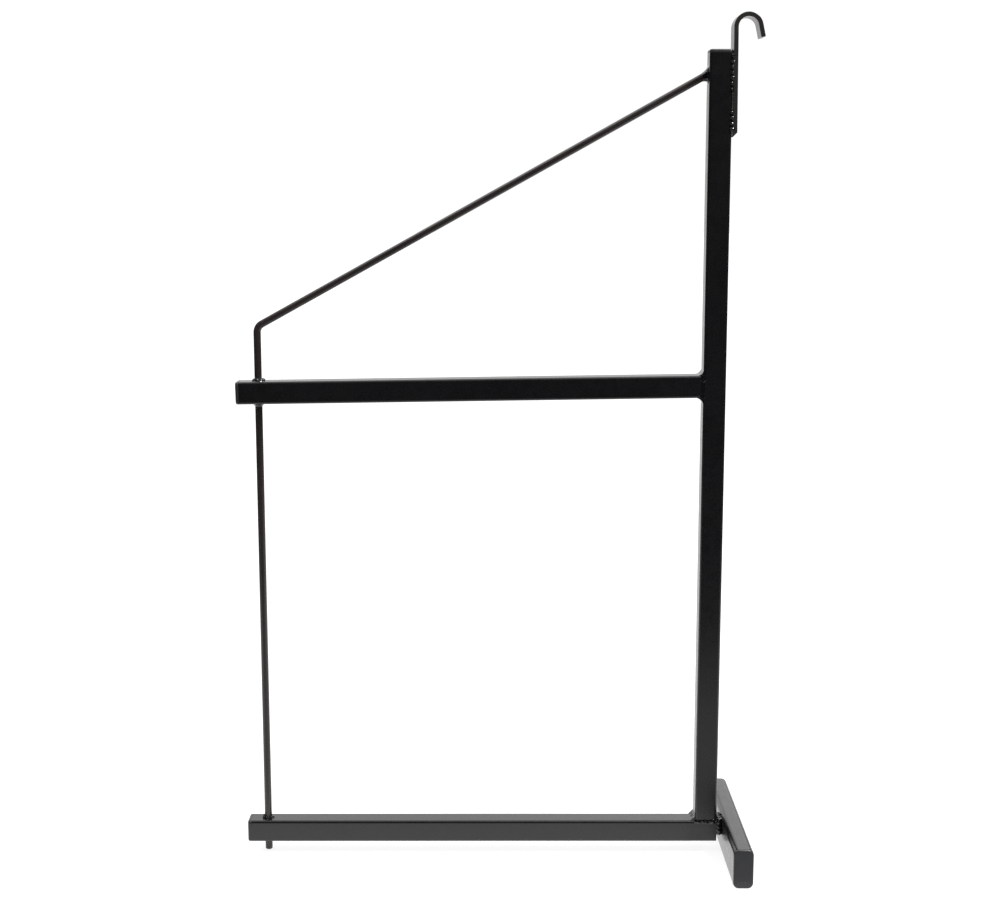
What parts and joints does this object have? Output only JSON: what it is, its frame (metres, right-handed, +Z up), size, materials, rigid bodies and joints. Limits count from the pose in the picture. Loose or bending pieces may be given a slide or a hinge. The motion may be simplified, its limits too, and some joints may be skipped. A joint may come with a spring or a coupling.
{
  "type": "valet stand",
  "caption": "Welded steel valet frame: a square-tube post with two arms, a bent brace rod, a top hook and a cross foot.",
  "frame": {"origin": "middle of the cross foot's underside, on the floor", "axes": "+Z up the post, +Y along the cross foot, the two arms reach towards -X and the hook opens towards +X"},
  "size_m": [0.5846, 0.226, 0.9568],
  "materials": {
    "frame_coat": "semi-gloss black powder coat",
    "weld_coat": "gloss black powder coat over weld beads",
    "plug_plastic": "satin moulded plastic"
  },
  "bodies": {
    "root": {"post_tube": "frame_coat", "mid_arm_tube": "frame_coat", "lower_arm_tube": "frame_coat", "foot_tube": "frame_coat", "brace_rod": "frame_coat", "hook_bar": "frame_coat", "post_cap": "plug_plastic", "mid_arm_cap": "plug_plastic", "lower_arm_cap": "plug_plastic", "foot_cap_front": "plug_plastic", "foot_cap_back": "plug_plastic", "weld_post_to_lower_arm": "weld_coat", "weld_mid_arm_to_post": "weld_coat", "weld_rod_to_post": "weld_coat", "weld_rod_above_mid_arm": "weld_coat", "weld_rod_below_mid_arm": "weld_coat", "weld_rod_above_lower_arm": "weld_coat", "weld_rod_below_lower_arm": "weld_coat", "weld_foot_to_lower_arm": "weld_coat", "weld_hook_upper": "weld_coat", "weld_hook_lower": "weld_coat"}
  },
  "joints": []
}
